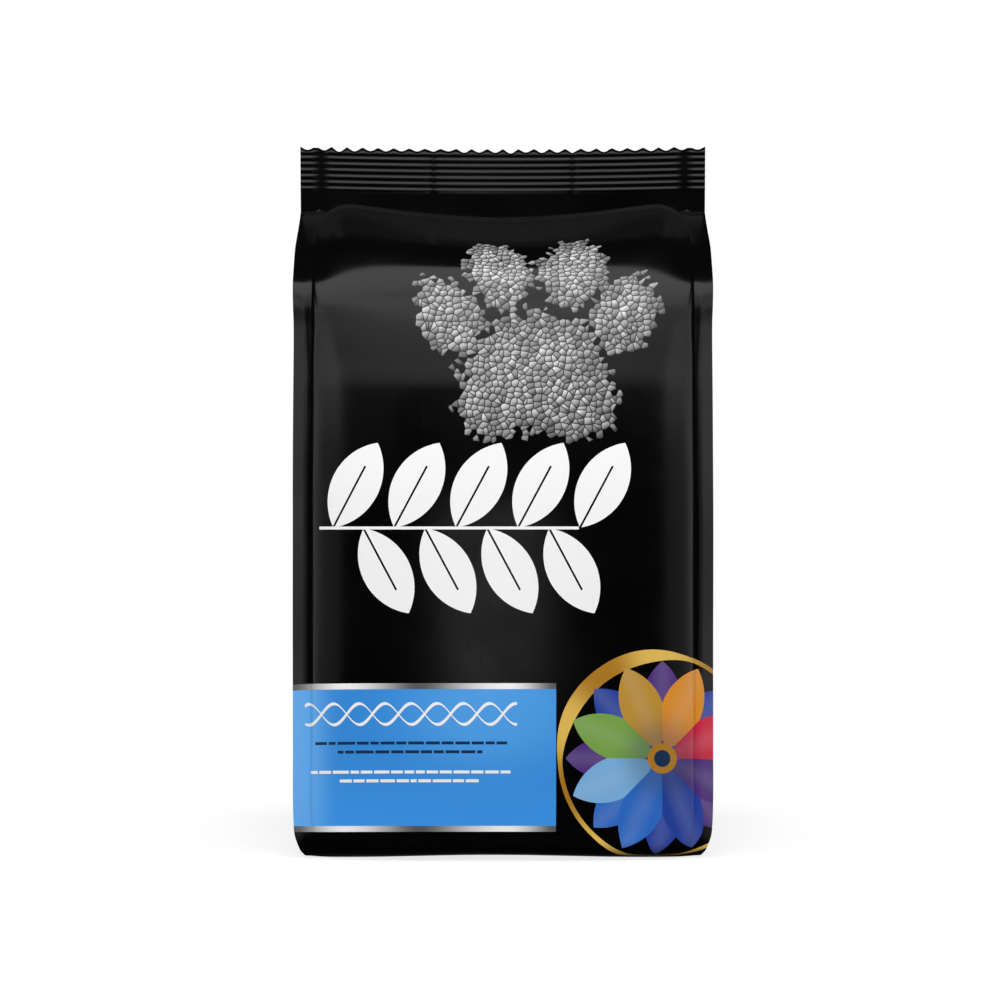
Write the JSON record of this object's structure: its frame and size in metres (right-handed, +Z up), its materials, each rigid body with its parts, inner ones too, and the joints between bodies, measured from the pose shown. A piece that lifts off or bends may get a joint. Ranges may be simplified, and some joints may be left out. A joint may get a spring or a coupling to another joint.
{
  "type": "cat litter bag",
  "caption": "Filled black film pack of cat litter with corner fins, side gussets, a crimped zig-zag top seal and a flat base, sealed and free-standing.",
  "frame": {"origin": "middle of the flat base, on the surface that the bag stands on", "axes": "+Z up from the base to the seal, +X to the right across the front panel, +Y from the front panel to the back panel"},
  "size_m": [0.23, 0.161, 0.3932],
  "materials": {
    "printed_film": "satin"
  },
  "bodies": {
    "root": {"bag": "printed_film"}
  },
  "joints": []
}
